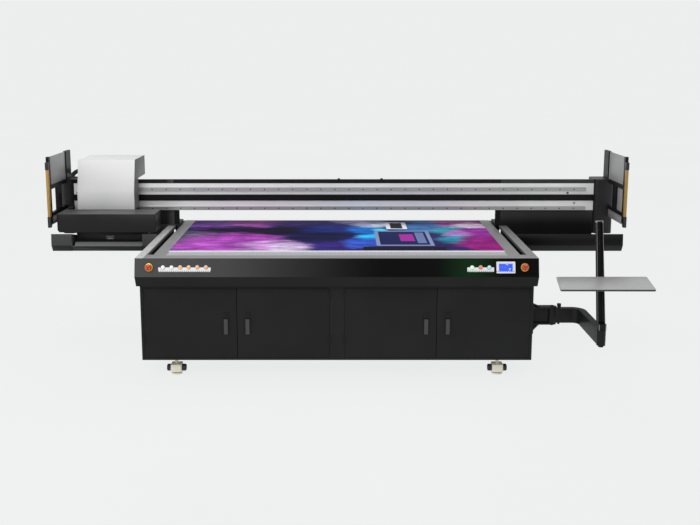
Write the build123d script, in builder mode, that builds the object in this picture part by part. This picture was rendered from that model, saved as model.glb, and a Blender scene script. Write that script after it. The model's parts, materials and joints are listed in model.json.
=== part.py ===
"""Flatbed UV printer: base cabinet with vacuum bed, travelling gantry, print carriage and monitor arm.

Lengths are in millimetres, +Z is up. The row's origin is on the floor under the middle of the whole machine.
Places are given from the datum, which is the middle of the bed's front top edge: x to the right, y to the
rear and z up. The helpers below move them into the row's frame.
"""

import os
from math import hypot

from build123d import *

os.makedirs("parts", exist_ok=True)

# ---- driving dimensions ----
bed_height = 917.0  # floor to the bed's top
bed_front = -640.42  # y of the datum: it puts the origin under the middle of the machine
sheet = 3.0  # thickness of covers and panels
hairline = 0.5  # joint line between welded or screwed neighbours that stay separate solids
running = 0.05  # radial clearance of a pin in its bore
gap = 2.0  # gap round a door

# bed
bed_half = 1458.0
bed_depth = 1564.0
rail_depth = 99.0  # front rail of the bed
board_half = 1250.0
board_y = (219.0, 1493.0)
board_thick = 10.0
slot_x = (1346.0, 1392.0)
slot_front = 123.0
table_thick = 12.0
plenum_deep = 100.0

# base cabinet
cabinet_half = 1442.0
cabinet_y = (60.0, 2008.0)
cabinet_z = (-785.0, -211.0)
door_z = (-763.0, -237.0)
door_thick = 22.0
door_meet = 735.0  # where the two doors of a pair meet
mullion_half = 54.0
stile_inner = 1423.0
deck_z = -85.0  # rear deck behind the bed

# console
console_top = (0.0, 0.0)  # (y, z) of the corners of the console's section
console_nose = (-30.0, -131.0)
console_toe = (13.0, -211.0)
console_back = 58.0
console_ledge = -10.5  # where the console passes under the bed's front rail
lip_rear = 3.1
rail_front = 3.6  # the front rail stands just behind the console's lip
control_drop = 64.0  # height of the control row below the bed
button_x = [-1252.5, -1190.5, -1128.5, -1066.5, -1004.5, -942.5, 975.0, 1037.0, 1099.0]
button_radius = 11.5
bezel_radius = 15.5
stop_x = (-1355.0, 1355.0)
stop_radius = 23.0
strips = ((-1097.5, 378.0), (1037.0, 193.0))  # (middle x, length) of the legend strips
display_x = 1217.5

# gantry
beam_front = 1296.0
beam_rear = 1500.0
beam_z = (136.0, 368.0)
beam_x = (-2251.5, 2192.5)
left_end_x = (-2368.0, -2252.0)
right_end_x = (2193.0, 2368.0)
leg_x = (1356.0, 2192.0)
leg_foot = -100.0
x_rail_half = 2122.0
x_rail_z = ((139.0, 170.0), (302.0, 334.0))
x_rail_front = 1276.0
magnet_z = (220.0, 272.0)  # magnet track of the linear motor
y_rail_x = 1369.0
y_rail_z = (-150.0, -125.0)
outrigger_x = (1470.0, 2328.0)
outrigger_y = (853.0, 1290.0)
outrigger_z = (-135.0, 11.0)
bay_x = (-2163.0, -1588.0)  # bay of the waste drawer in the left outrigger
bay_rear = 1092.0
station_x = (-2272.0, -1476.0)
station_z = (26.0, 176.0)
wing_x = (2314.0, 2338.0)
wing_top = 640.0
front_post_y = (853.0, 889.0)
rear_post_y = (1320.0, 1450.0)
window_bar_y = (1055.0, 1160.0)
upper_bar_z = (375.0, 406.0)
lower_bar_z = (155.0, 182.0)
flap_foot = 82.0

# carriage at its left end
carriage_x = (-2168.0, -1693.0)
cover_z = (173.0, 319.0, 417.0, 585.0)  # bottom, crease, step over the beam, top
cover_y = (1097.0, 1167.0, 1272.0, 1550.0)  # front, top front edge, lower rear edge, upper rear edge
nozzle_z = 60.0

# monitor arm
arm_pivot = (1601.0, 150.0)
arm_end = (1813.0, -405.0)
arm_z = (-518.5, -409.5)
arm_wide = 49.0
post_foot = (-385.0, -409.0)  # (y, z) of the post's foot and of its top
post_top = (-225.0, 313.0)
shelf_size = (600.0, 350.0, 12.0)
shelf_turn = (0.0, -2.2, -8.7)  # the shelf is set slightly askew and tilted on its mount

caster_x = 1204.0
caster_y = (150.0, 1850.0)


# ---- helpers ----
def place(x, y, z):
    """A point given from the datum, in the row's frame."""
    return (x, bed_front + y, bed_height + z)


def side_plane(x):
    """The plane across the machine at x. Its sketch axes are y and z from the datum."""
    return Plane(place(x, 0, 0), x_dir=(0, 1, 0), z_dir=(1, 0, 0))


def level_plane(z):
    """The level plane at height z. Its sketch axes are x and y from the datum."""
    return Plane(place(0, 0, z))


def block(x, y, z, mode=Mode.ADD):
    """A rectangular block between pairs of x, y and z."""
    with Locations(place(sum(x) / 2, sum(y) / 2, sum(z) / 2)):
        Box(abs(x[1] - x[0]), abs(y[1] - y[0]), abs(z[1] - z[0]), mode=mode)


def inner(pair, wall):
    """The pair of limits inside walls of the given thickness."""
    return (min(pair) + wall, max(pair) - wall)


def case(x, y, z, wall=sheet):
    """A closed box of sheet."""
    block(x, y, z)
    block(inner(x, wall), inner(y, wall), inner(z, wall), mode=Mode.SUBTRACT)


def folded_case(x, outline, wall=sheet):
    """A closed sheet box between a pair of x, with the given section of (y, z) corners."""
    low, high = x
    with BuildSketch(side_plane(low), mode=Mode.PRIVATE) as skin:
        with BuildLine():
            Polyline(*outline, close=True)
        make_face()
    with BuildSketch(side_plane(low + wall), mode=Mode.PRIVATE) as hollow:
        with BuildLine():
            Polyline(*outline, close=True)
        make_face()
        offset(amount=-wall, kind=Kind.INTERSECTION, mode=Mode.REPLACE)
    extrude(to_extrude=skin.sketch, amount=high - low)
    extrude(to_extrude=hollow.sketch, amount=high - low - 2 * wall, mode=Mode.SUBTRACT)


def rod(start, direction, radius, length, mode=Mode.ADD):
    """A round bar from a start point along a direction."""
    with Locations(Plane(place(*start), z_dir=direction)):
        Cylinder(radius, length, align=(Align.CENTER, Align.CENTER, Align.MIN), mode=mode)


def both(pair, side):
    """The pair of x limits on the right (side 1) or the left (side -1)."""
    return (side * pair[0], side * pair[1])


def keep(builder, name):
    """Label a finished piece and write it to its file."""
    builder.part.label = name
    export_step(builder.part, f"parts/{name}.step")


SIDES = (-1, 1)

# ---- base frame: square tubes, joined with hairlines ----
tube = 60.0
tube_wall = 4.0
side_tube_x = (y_rail_x - tube / 2, y_rail_x + tube / 2)
top_beam_z = (-230.0, -150.0)
frame_y = (100.0, 1990.0)
floor_z = cabinet_z[0] + sheet
with BuildPart() as base_frame:
    for side in SIDES:
        case(both(side_tube_x, side), frame_y, top_beam_z, tube_wall)
        case(both(side_tube_x, side), frame_y, (floor_z + hairline, floor_z + tube), tube_wall)
        for y in (frame_y[0], 1000.0, frame_y[1] - tube):
            post_z = (floor_z + tube + hairline, top_beam_z[0] - hairline)
            case(both(side_tube_x, side), (y, y + tube), post_z, tube_wall)
    for y in (frame_y[0], 1000.0, frame_y[1] - tube):
        cross_x = (-side_tube_x[0] + hairline, side_tube_x[0] - hairline)
        case(cross_x, (y, y + tube), (floor_z + hairline, floor_z + tube), tube_wall)
    for y in (frame_y[0], 520.0, 1000.0, 1440.0, frame_y[1] - tube):
        case(cross_x, (y, y + tube), (top_beam_z[0], top_beam_z[0] + tube), tube_wall)
    for y in (frame_y[0], 1000.0, frame_y[1] - tube):
        post_z = (floor_z + tube + hairline, top_beam_z[0] - hairline)
        case((-tube / 2, tube / 2), (y, y + tube), post_z, tube_wall)
    for x in (-1000.0, -350.0, 350.0, 1000.0):
        for y in (550.0, 1030.0, 1470.0):
            jack_foot = top_beam_z[0] + tube + hairline
            jack_top = -table_thick - plenum_deep - 2 * hairline
            rod((x, y, jack_foot), (0, 0, 1), 15, jack_top - jack_foot)
keep(base_frame, "base_frame")

# ---- body panels: sides, rear, floor, bed skirts and the deck behind the bed ----
with BuildPart() as body_panels:
    panel_y = (cabinet_y[0] + door_thick + hairline, cabinet_y[1])
    for side in SIDES:
        block(both((cabinet_half - sheet, cabinet_half), side), panel_y, cabinet_z)
        skirt_y = (console_back + hairline, bed_depth)
        block(both((bed_half - sheet, bed_half), side), skirt_y, (cabinet_z[1] + hairline, -20.5))
        block(
            both((cabinet_half - sheet, cabinet_half), side),
            (bed_depth + hairline, cabinet_y[1]),
            (cabinet_z[1] + hairline, deck_z - hairline),
        )
        block(
            both((slot_x[1] + 8, bed_half), side),
            (bed_depth + hairline, cabinet_y[1]),
            (deck_z, deck_z + sheet),
        )
    rear_z = (cabinet_z[0] + sheet + hairline, deck_z - hairline)
    rear_x = (-cabinet_half + sheet + hairline, cabinet_half - sheet - hairline)
    block(rear_x, (cabinet_y[1] - sheet, cabinet_y[1]), rear_z)
    block(rear_x, (panel_y[0], cabinet_y[1]), (cabinet_z[0], cabinet_z[0] + sheet))
    deck_half = slot_x[0] - 8
    block((-deck_half, deck_half), (bed_depth + hairline, cabinet_y[1]), (deck_z, deck_z + sheet))
    apron_y = (bed_depth - sheet, bed_depth)
    apron_z = (deck_z + sheet + hairline, -20.5)
    block((-deck_half, deck_half), apron_y, apron_z)
    for side in SIDES:
        block(both((slot_x[1] + 8, bed_half - sheet - hairline), side), apron_y, apron_z)
keep(body_panels, "body_panels")

# ---- front surround with the fixed knuckles and pins of the door hinges ----
hinge_y = cabinet_y[0] - 4.5
hinge_radius = 4.0
pin_radius = 2.0
knuckle = 20.0
hinge_heights = (-640.0, -300.0)  # bottom of the middle knuckle of each hinge
surround_y = (cabinet_y[0], cabinet_y[0] + door_thick)
hinges = (-(stile_inner - gap / 2), -(mullion_half + gap / 2), mullion_half + gap / 2, stile_inner - gap / 2)
with BuildPart() as front_surround:
    block((-cabinet_half, cabinet_half), surround_y, (door_z[1] + gap, cabinet_z[1]))
    block((-cabinet_half, cabinet_half), surround_y, (cabinet_z[0], door_z[0] - gap))
    stile_z = (door_z[0] - gap + hairline, door_z[1] + gap - hairline)
    block((-mullion_half, mullion_half), surround_y, stile_z)
    for side in SIDES:
        block(both((stile_inner, cabinet_half), side), surround_y, stile_z)
    for x in hinges:
        outward = 1 if x in (hinges[1], hinges[3]) else -1  # from the axis towards the fixed leaf
        for z in hinge_heights:
            for low in (z - knuckle - hairline, z + knuckle + hairline):
                rod((x, hinge_y, low), (0, 0, 1), hinge_radius, knuckle)
                leaf_x = (x + outward * 1.5, x + outward * 14)
                block(leaf_x, (hinge_y + 1, cabinet_y[0]), (low, low + knuckle))
            rod((x, hinge_y, z - knuckle), (0, 0, 1), pin_radius, 3 * knuckle)
keep(front_surround, "front_surround")

# ---- doors: pans with a moving knuckle on each hinge, and the mounting of the swing handle ----
handle_z = (-585.0, -468.0)
handle_pivot = (49.5, -474.0)  # (y, z)
handle_half = 14.0
handle_pin = 3.0
plate_y = (56.0, 60.0)
door_spans = (
    (hinges[0] + gap / 2, -door_meet - gap),
    (-door_meet + gap, hinges[1] - gap / 2),
    (hinges[2] + gap / 2, door_meet - gap),
    (door_meet + gap, hinges[3] - gap / 2),
)
handle_x = (-816.0, -657.0, 657.0, 816.0)
for number in range(4):
    span = door_spans[number]
    middle = handle_x[number]
    hinge = hinges[number]
    inward = 1 if number in (0, 2) else -1  # from the axis towards the door
    with BuildPart() as door:
        block(span, surround_y, door_z)
        pocket_y = (surround_y[0] + sheet, surround_y[1] + 1)
        block(inner(span, sheet), pocket_y, inner(door_z, sheet), mode=Mode.SUBTRACT)
        for z in hinge_heights:
            rod((hinge, hinge_y, z), (0, 0, 1), hinge_radius, knuckle)
            block((hinge + inward * 1.5, hinge + inward * 14), (hinge_y + 1, cabinet_y[0]), (z, z + knuckle))
            rod((hinge, hinge_y, z - 1), (0, 0, 1), pin_radius + running, knuckle + 2, mode=Mode.SUBTRACT)
        block((middle - 20, middle + 20), plate_y, (-589.0, -420.0))
        rod((middle, plate_y[0], -441.0), (0, -1, 0), 11, 7)
        for side in SIDES:
            ear_x = (middle + side * (handle_half + hairline), middle + side * 19)
            block(ear_x, (44.0, plate_y[0]), (-484.0, -464.0))
        rod((middle - 15, *handle_pivot), (1, 0, 0), handle_pin, 30)
    keep(door, f"door_{number + 1}")

    with BuildPart() as handle:
        lever_y = (44.0, 55.4)
        with BuildSketch(side_plane(middle - handle_half)):
            with BuildLine():
                Polyline(
                    (lever_y[0], handle_pivot[1]),
                    (lever_y[0], handle_z[0] + 12),
                    (lever_y[0] + 5, handle_z[0]),
                    (lever_y[1], handle_z[0]),
                    (lever_y[1], handle_pivot[1]),
                    (lever_y[0], handle_pivot[1]),
                )
            make_face()
        extrude(amount=2 * handle_half)
        knuckle_start = (middle - handle_half, *handle_pivot)
        rod(knuckle_start, (1, 0, 0), 5.5, 2 * handle_half)
        bore_start = (middle - handle_half - 1, *handle_pivot)
        rod(bore_start, (1, 0, 0), handle_pin + running, 2 * handle_half + 2, mode=Mode.SUBTRACT)
    keep(handle, f"handle_{number + 1}")

# ---- console: a folded housing with a hole for each control ----
run = (console_nose[0] - console_top[0], console_nose[1] - console_top[1])
run_length = hypot(*run)
outward_dir = (0, run[1] / run_length, -run[0] / run_length)
control_part = (control_drop + console_top[1]) / -run[1]
control_y = console_top[0] + control_part * run[0]


def control_plane(x, lift=0.0, along=0.0):
    """The plane on the console's upper face at a control, raised from the face and moved up the slope."""
    up = (0, outward_dir[2], -outward_dir[1])
    base = place(x, control_y, -control_drop)
    raised = [base[i] + lift * outward_dir[i] + along * up[i] for i in range(3)]
    return Plane(tuple(raised), x_dir=(1, 0, 0), z_dir=outward_dir)


def lathe_plane(x):
    """The upright plane through a control's axis, with the axis as its second direction."""
    return Plane(control_plane(x).origin, x_dir=(1, 0, 0), z_dir=(0, -outward_dir[2], outward_dir[1]))


ledge_front = (console_top[0] + console_ledge / run[1] * run[0], console_ledge)
console_foot = ((console_back, console_toe[1]), (console_back, console_ledge))
with BuildPart() as console_housing:
    folded_case((-bed_half, bed_half), (ledge_front, console_nose, console_toe, *console_foot))
    with BuildSketch(side_plane(-bed_half)):
        with BuildLine():
            lip = ((lip_rear, console_ledge), (lip_rear, console_top[1]))
            Polyline(console_top, ledge_front, *lip, close=True)
        make_face()
    extrude(amount=2 * bed_half)
    for x in (*button_x, *stop_x):
        with Locations(control_plane(x)):
            Cylinder(button_radius + hairline, 20, mode=Mode.SUBTRACT)
keep(console_housing, "console_housing")

strip_tall = 32.0
with BuildPart() as control_plates:
    for middle, length in strips:
        with BuildSketch(control_plane(middle, along=-strip_tall / 2)):
            RectangleRounded(length, strip_tall, 3)
        extrude(amount=1)
    for x in button_x:
        with Locations(control_plane(x)):
            Cylinder(bezel_radius + hairline, 6, mode=Mode.SUBTRACT)
    with BuildSketch(control_plane(display_x)):
        RectangleRounded(135, 84, 5)
        RectangleRounded(101, 58, 2, mode=Mode.SUBTRACT)
    extrude(amount=8)
    with BuildSketch(control_plane(display_x)):
        RectangleRounded(100, 57, 2)
    extrude(amount=5)
keep(control_plates, "control_plates")

with BuildPart() as control_bezels:
    for x in button_x:
        with BuildSketch(control_plane(x)):
            Circle(bezel_radius)
            Circle(button_radius + hairline, mode=Mode.SUBTRACT)
        extrude(amount=3.5)
    for x in stop_x:
        with BuildSketch(control_plane(x)):
            Circle(29)
            Circle(button_radius + hairline, mode=Mode.SUBTRACT)
        extrude(amount=4)
keep(control_bezels, "control_bezels")

dome_rise = 4.0
dome_sphere = (button_radius**2 + dome_rise**2) / (2 * dome_rise)
for number, x in enumerate(button_x, 1):
    with BuildPart() as button:
        with BuildSketch(lathe_plane(x)):
            with BuildLine():
                Polyline((0, 9), (0, -14), (button_radius, -14), (button_radius, 5))
                RadiusArc((button_radius, 5), (0, 9), -dome_sphere)
            make_face()
        revolve(axis=Axis(control_plane(x).origin, outward_dir))
    keep(button, f"push_button_{number}")

for name, x in zip(("left", "right"), stop_x):
    with BuildPart() as stop:
        with BuildSketch(lathe_plane(x)):
            with BuildLine():
                Polyline(
                    (0, 28),
                    (0, -14),
                    (button_radius, -14),
                    (button_radius, 12),
                    (stop_radius, 12),
                    (stop_radius, 19),
                )
                Spline((stop_radius, 19), (14, 26.5), (0, 28), tangents=((0, 1), (-1, 0)))
            make_face()
        revolve(axis=Axis(control_plane(x).origin, outward_dir))
    keep(stop, f"emergency_stop_{name}")

# ---- bed: light rails round the table, with a slot on each side for the gantry's legs ----
rail_thick = 20.0
strip_y = (rail_depth + hairline, bed_depth)
with BuildPart() as table_rails:
    block((-bed_half, bed_half), (rail_front, rail_depth), (-10, 0))
    for side in SIDES:
        block(both((slot_x[1], bed_half), side), strip_y, (-rail_thick, 0))
        block(both((board_half + hairline, slot_x[0]), side), strip_y, (-rail_thick, 0))
        bridge_x = (slot_x[0] + hairline, slot_x[1] - hairline)
        block(both(bridge_x, side), (strip_y[0], slot_front), (-rail_thick, 0))
keep(table_rails, "table_rails")

with BuildPart() as vacuum_table:
    table_x = (-board_half, board_half)
    block(table_x, strip_y, (-table_thick, 0))
    plenum_top = -table_thick - hairline
    case((-1150, 1150), (300, 1480), (plenum_top - plenum_deep + hairline, plenum_top))
keep(vacuum_table, "vacuum_table")

with BuildPart() as print_board:
    block((-board_half, board_half), board_y, (0, board_thick))
keep(print_board, "print_board")

# ---- inside the cabinet ----
inside_floor = cabinet_z[0] + sheet
with BuildPart() as vacuum_blower:
    blower_y = 620.0
    block((-1050, -650), (blower_y - 170, blower_y + 170), (inside_floor, inside_floor + 40))
    rod((-1000, blower_y, inside_floor + 240), (1, 0, 0), 190, 160)
    rod((-840, blower_y, inside_floor + 240), (1, 0, 0), 120, 230)
    block((-980, -860), (blower_y + 100, blower_y + 180), (inside_floor + 240, top_beam_z[0] - 60))
keep(vacuum_blower, "vacuum_blower")

with BuildPart() as control_cabinet:
    case((350, 1250), (500, 850), (inside_floor + 80, inside_floor + 480))
keep(control_cabinet, "control_cabinet")

rail_y = (130.0, 1995.0)
with BuildPart() as y_rails:
    for side in SIDES:
        block(both((y_rail_x - 14, y_rail_x + 14), side), rail_y, y_rail_z)
keep(y_rails, "y_rails")

# ---- levelling casters: the housing stands on its pad, and the wheels are clear of the floor ----
wheel_radius = 26.0
wheel_wide = 28.0
wheel_z = -871.0
housing_half = 42.5
axle_radius = 5.0
with BuildPart() as caster_housings:
    for x in (-caster_x, caster_x):
        for y in caster_y:
            with BuildSketch(Plane(place(x, y, -895))):
                RectangleRounded(2 * housing_half, 90, 14)
            extrude(amount=55, taper=2)
            rod((x, y, -907), (0, 0, 1), 12, 13)
            rod((x, y, -bed_height), (0, 0, 1), 40, 10)
            rod((x, y, -841), (0, 0, 1), 12, 50)
            block((x - 50, x + 50), (y - 50, y + 50), (cabinet_z[0] - 8, cabinet_z[0]))
            bore = (x - housing_half - 1, y, wheel_z)
            rod(bore, (1, 0, 0), axle_radius + running, 2 * housing_half + 2, mode=Mode.SUBTRACT)
keep(caster_housings, "caster_housings")

corners = {
    "front_left": (-caster_x, caster_y[0]),
    "front_right": (caster_x, caster_y[0]),
    "rear_left": (-caster_x, caster_y[1]),
    "rear_right": (caster_x, caster_y[1]),
}
for name, (x, y) in corners.items():
    with BuildPart() as wheels:
        reach = housing_half + 1 + wheel_wide
        rod((x - reach, y, wheel_z), (1, 0, 0), axle_radius, 2 * reach)
        for side in SIDES:
            rod((x + side * (housing_half + 1), y, wheel_z), (side, 0, 0), wheel_radius, wheel_wide)
        rims = wheels.edges().filter_by(GeomType.CIRCLE).group_by(Axis.X)
        chamfer(rims[0] + rims[-1], length=5)
    keep(wheels, f"caster_wheels_{name}")

with BuildPart() as power_sockets:
    for z in (-631.0, -725.0):
        block((cabinet_half, cabinet_half + 6), (265, 335), (z - 38, z + 38))
        rod((cabinet_half + 4, 300, z), (1, 0, 0), 29, 16)
keep(power_sockets, "power_sockets")

# ---- monitor arm: bracket, swinging arm, leaning post and shelf ----
barrel_radius = 32.5
arm_pin = 12.5
socket_pin = 10.0
pivot_x, pivot_y = arm_pivot
with BuildPart() as arm_bracket:
    block((cabinet_half, cabinet_half + 12), (pivot_y - 60, pivot_y + 60), (-592, -370))
    for low, high in ((-531, arm_z[0] - hairline), (arm_z[1] + hairline, -397)):
        with BuildSketch(level_plane(low)):
            with BuildLine():
                Polyline(
                    (pivot_x, pivot_y - barrel_radius),
                    (cabinet_half + 12, pivot_y - barrel_radius),
                    (cabinet_half + 12, pivot_y + barrel_radius),
                    (pivot_x, pivot_y + barrel_radius),
                )
                ThreePointArc(
                    (pivot_x, pivot_y + barrel_radius),
                    (pivot_x + barrel_radius, pivot_y),
                    (pivot_x, pivot_y - barrel_radius),
                )
            make_face()
        extrude(amount=high - low)
    with BuildSketch(Plane(place(0, pivot_y + 10, 0), x_dir=(1, 0, 0), z_dir=(0, -1, 0))):
        with BuildLine():
            Polyline(
                (cabinet_half + 12, -372),
                (1512, -397),
                (pivot_x, -397),
                (pivot_x, -531),
                (1512, -531),
                (cabinet_half + 12, -590),
                close=True,
            )
        make_face()
    extrude(amount=20)
    barrel_tall = arm_z[1] - arm_z[0] + 2 * hairline
    barrel_foot = (pivot_x, pivot_y, arm_z[0] - hairline)
    rod(barrel_foot, (0, 0, 1), barrel_radius + 1, barrel_tall, mode=Mode.SUBTRACT)
    rod((pivot_x, pivot_y, -540), (0, 0, 1), arm_pin, 150)
keep(arm_bracket, "arm_bracket")

with BuildPart() as swing_arm:
    with BuildSketch(level_plane(arm_z[0])):
        with BuildLine():
            FilletPolyline(arm_pivot, (arm_end[0], pivot_y), arm_end, radius=70)
        trace(line_width=arm_wide)
    extrude(amount=arm_z[1] - arm_z[0])
    rod((pivot_x, pivot_y, arm_z[0]), (0, 0, 1), barrel_radius, arm_z[1] - arm_z[0])
    rod((*arm_end, arm_z[0]), (0, 0, 1), 30, arm_z[1] - arm_z[0])
    with BuildSketch(level_plane(arm_z[0] + 4)):
        with BuildLine():
            FilletPolyline(
                (pivot_x + 50, pivot_y), (arm_end[0], pivot_y), (arm_end[0], arm_end[1] + 45), radius=70
            )
        trace(line_width=arm_wide - 8)
    extrude(amount=arm_z[1] - arm_z[0] - 8, mode=Mode.SUBTRACT)
    knob_x = pivot_x + 52
    rod((knob_x, pivot_y, arm_z[1] - 2), (0, 0, 1), 6, 14)
    rod((knob_x, pivot_y, arm_z[1] + 10), (0, 0, 1), 15, 22)
    rod((knob_x, pivot_y, arm_z[0] - 14), (0, 0, 1), 9, 16)
    for centre, radius in ((arm_pivot, arm_pin), (arm_end, socket_pin)):
        rod((*centre, arm_z[0] - 1), (0, 0, 1), radius + running, arm_z[1] - arm_z[0] + 2, mode=Mode.SUBTRACT)
keep(swing_arm, "swing_arm")

lean = (post_top[0] - post_foot[0], post_top[1] - post_foot[1])
post_length = hypot(*lean)
post_dir = (0, lean[0] / post_length, lean[1] / post_length)
post_deep = 36.0
post_wall = 4.0
channel_foot = 53.0  # width of the tapered channel at its foot and at its top
channel_head = 45.0
channel_long = post_length - 20
with BuildPart() as post:
    foot = place(arm_end[0], post_foot[0], post_foot[1] + 20)
    foot_plane = Plane(foot, x_dir=(1, 0, 0), z_dir=post_dir)
    head_plane = foot_plane.offset(channel_long)
    for wall, mode in ((0, Mode.ADD), (post_wall, Mode.SUBTRACT)):
        for end, wide in ((foot_plane, channel_foot), (head_plane, channel_head)):
            with BuildSketch(end):
                with Locations((0, -wall)):
                    Rectangle(wide - 2 * wall, post_deep)
        loft(mode=mode)
    block(
        (arm_end[0] - 26, arm_end[0] + 26),
        (arm_end[1] - 24, post_foot[0] + 26),
        (arm_z[1] + hairline, post_foot[1] + 42),
    )
    rod((*arm_end, arm_z[0] - 12), (0, 0, 1), socket_pin, arm_z[1] - arm_z[0] + 14)
    rod((*arm_end, arm_z[0] - 12), (0, 0, 1), 18, 11)
    for down in (60.0, 156.0):
        hole = [foot[i] + (channel_long - down) * post_dir[i] for i in range(3)]
        with Locations(Plane(tuple(hole), z_dir=(0, -post_dir[2], post_dir[1]))):
            Cylinder(5, 120, mode=Mode.SUBTRACT)
    with BuildSketch(head_plane):
        Rectangle(channel_head, post_deep)
    extrude(amount=3)
keep(post, "post")

shelf_top = -55.0
shelf_middle = (1787.0, -510.5)
with BuildPart() as shelf:
    tray = Plane(place(*shelf_middle, shelf_top)).rotated(shelf_turn)
    with BuildSketch(tray):
        RectangleRounded(shelf_size[0], shelf_size[1], 12)
    extrude(amount=-shelf_size[2])
    with BuildSketch(tray.offset(-sheet)):
        RectangleRounded(shelf_size[0] - 2 * sheet, shelf_size[1] - 2 * sheet, 10)
    extrude(amount=sheet - shelf_size[2], mode=Mode.SUBTRACT)
    block((1795, 1831), (-420, -333), (shelf_top - 34, shelf_top - 1))
    block((1801, 1825), (-334, -316), (shelf_top - 34, shelf_top - 8))
keep(shelf, "shelf")

# ---- gantry ----
beam_wall = 8.0
with BuildPart() as gantry_beam:
    block(beam_x, (beam_front, beam_rear), beam_z)
    for chamber in ((beam_z[0] + beam_wall, 244.0), (244.0 + beam_wall, beam_z[1] - beam_wall)):
        chamber_y = (beam_front + beam_wall, beam_rear - beam_wall)
        block(inner(beam_x, beam_wall), chamber_y, chamber, mode=Mode.SUBTRACT)
keep(gantry_beam, "gantry_beam")

with BuildPart() as x_guideway:
    for low, high in x_rail_z:
        block((-x_rail_half, x_rail_half), (x_rail_front, beam_front), (low, high))
    block(beam_x, (beam_front - 12, beam_front), magnet_z)
    for x, z in ((1970.0, 287.0), (2029.0, 196.0), (-2216.0, 196.0), (-2222.0, 287.0)):
        rod((x, beam_front, z), (0, -1, 0), 9.5, 4)
keep(x_guideway, "x_guideway")

cover_top = 401.0
chain_y = (1504.0, 1546.0)
trough_x = (beam_x[0], 1863.0)
trough_floor = 217.0
trough_top = 362.0
chain_bed = 228.0  # top of the chain's lower run, which the bend rolls along
with BuildPart() as beam_top:
    cover_foot = beam_z[1] + hairline
    land_rear = beam_front + 22
    slope_rear = (1470.0, 371.5)
    ridge = ((beam_front - 2, cover_foot), (beam_front - 2, cover_top), (land_rear, cover_top))
    folded_case(beam_x, (*ridge, slope_rear, (slope_rear[0], cover_foot)), 1.2)
    block(trough_x, (beam_rear + hairline, chain_y[1] + 8), (trough_floor - sheet, trough_floor))
    block(trough_x, (chain_y[1] + 5, chain_y[1] + 8), (trough_floor + hairline, trough_top))
    block((beam_x[0], 0), chain_y, (trough_floor + hairline, chain_bed))
    for x in (13.0, 378.0):
        dome_at = (x, beam_front + 10, cover_top + hairline)
        with BuildSketch(Plane(place(*dome_at), x_dir=(1, 0, 0), z_dir=(0, -1, 0))):
            with BuildLine():
                Polyline((0, 9), (0, 0), (11, 0), (11, 3))
                Spline((11, 3), (0, 9), tangents=((0, 1), (-1, 0)))
            make_face()
        revolve(axis=Axis(place(*dome_at), (0, 0, 1)))
keep(beam_top, "beam_top")

housing_foot = -68.0
housing_round = 40.0
with BuildPart() as end_housings:
    for span in (left_end_x, right_end_x):
        for foot, head, wall, mode in (
            (housing_foot, cover_top, 0, Mode.ADD),
            (housing_foot + sheet, cover_top - sheet, sheet, Mode.SUBTRACT),
        ):
            with BuildSketch(level_plane(foot)):
                with Locations((sum(span) / 2, (beam_front + beam_rear) / 2)):
                    wide = span[1] - span[0] - 2 * wall
                    RectangleRounded(wide, beam_rear - beam_front - 2 * wall, housing_round - wall)
            extrude(amount=head - foot, mode=mode)
keep(end_housings, "end_housings")

leg_plate_x = (y_rail_x - 12, y_rail_x + 12)
leg_inner = 1404.0
with BuildPart() as gantry_legs:
    for side in SIDES:
        leg_y = (beam_front, beam_rear)
        leg_head = beam_z[0] - hairline
        case(both((bed_half + 4, leg_x[1]), side), leg_y, (leg_foot, leg_head))
        case(both((leg_inner, bed_half + 4 - hairline), side), leg_y, (5, leg_head))
        toe_x = both((leg_x[0], leg_inner - hairline), side)
        block(toe_x, (beam_front, beam_front + 10), (5, leg_head))
        block(toe_x, (beam_front + 10 + hairline, 1486), (5, 25))
        block(both(leg_plate_x, side), (1310, 1486), (y_rail_z[1] + 40 + hairline, 5 - hairline))
        for low in (1302.0, 1414.0):
            block(both((y_rail_x - 30, y_rail_x + 30), side), (low, low + 80), (-146, y_rail_z[1] + 40))
            rail_room = both((y_rail_x - 14.4, y_rail_x + 14.4), side)
            block(rail_room, (low - 1, low + 81), (-147, y_rail_z[1] + 0.4), mode=Mode.SUBTRACT)
keep(gantry_legs, "gantry_legs")


back_y = 930.0
cap_bay_y = (1095.0, 1290.0)
slope_foot = -88.0  # the outriggers' tops fall to the rear
gap_x = 24.0  # open gap beside the drawer
section_front, section_rear = outrigger_y
section_foot, section_head = outrigger_z
outrigger_section = (
    (section_front + 8, section_head),
    (section_front, -83),
    (section_front + 32, section_foot),
    (section_rear, section_foot),
    (section_rear, slope_foot),
)
with BuildPart() as outrigger_boxes:
    folded_case(outrigger_x, outrigger_section)
    folded_case((-outrigger_x[1], bay_x[0] - hairline), outrigger_section)
    folded_case((bay_x[1] + hairline, -outrigger_x[0]), outrigger_section)
    case((bay_x[0] + gap_x, bay_x[1]), (back_y, cap_bay_y[0] - hairline), (-54, section_head))
    case(bay_x, cap_bay_y, (section_foot, -40))
    block((-1896, -1829), (back_y - 8, back_y - hairline), (-46, -13))
keep(outrigger_boxes, "outrigger_boxes")

drawer_foot = outrigger_z[0] + 1
drawer_front = ((886.0, drawer_foot), (855.0, -87.0), (882.0, -60.0))
with BuildPart() as waste_drawer:
    drawer_rear = ((bay_rear - 3, -60.0), (bay_rear - 3, drawer_foot))
    folded_case((bay_x[0] + gap_x, bay_x[1] - gap), (*drawer_front, *drawer_rear))
    with BuildSketch(side_plane(bay_x[0] + gap / 2)):
        with BuildLine():
            Polyline(drawer_front[0], drawer_front[1], (861, -87), (892, drawer_foot), close=True)
        make_face()
    extrude(amount=gap_x)
keep(waste_drawer, "waste_drawer")

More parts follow.
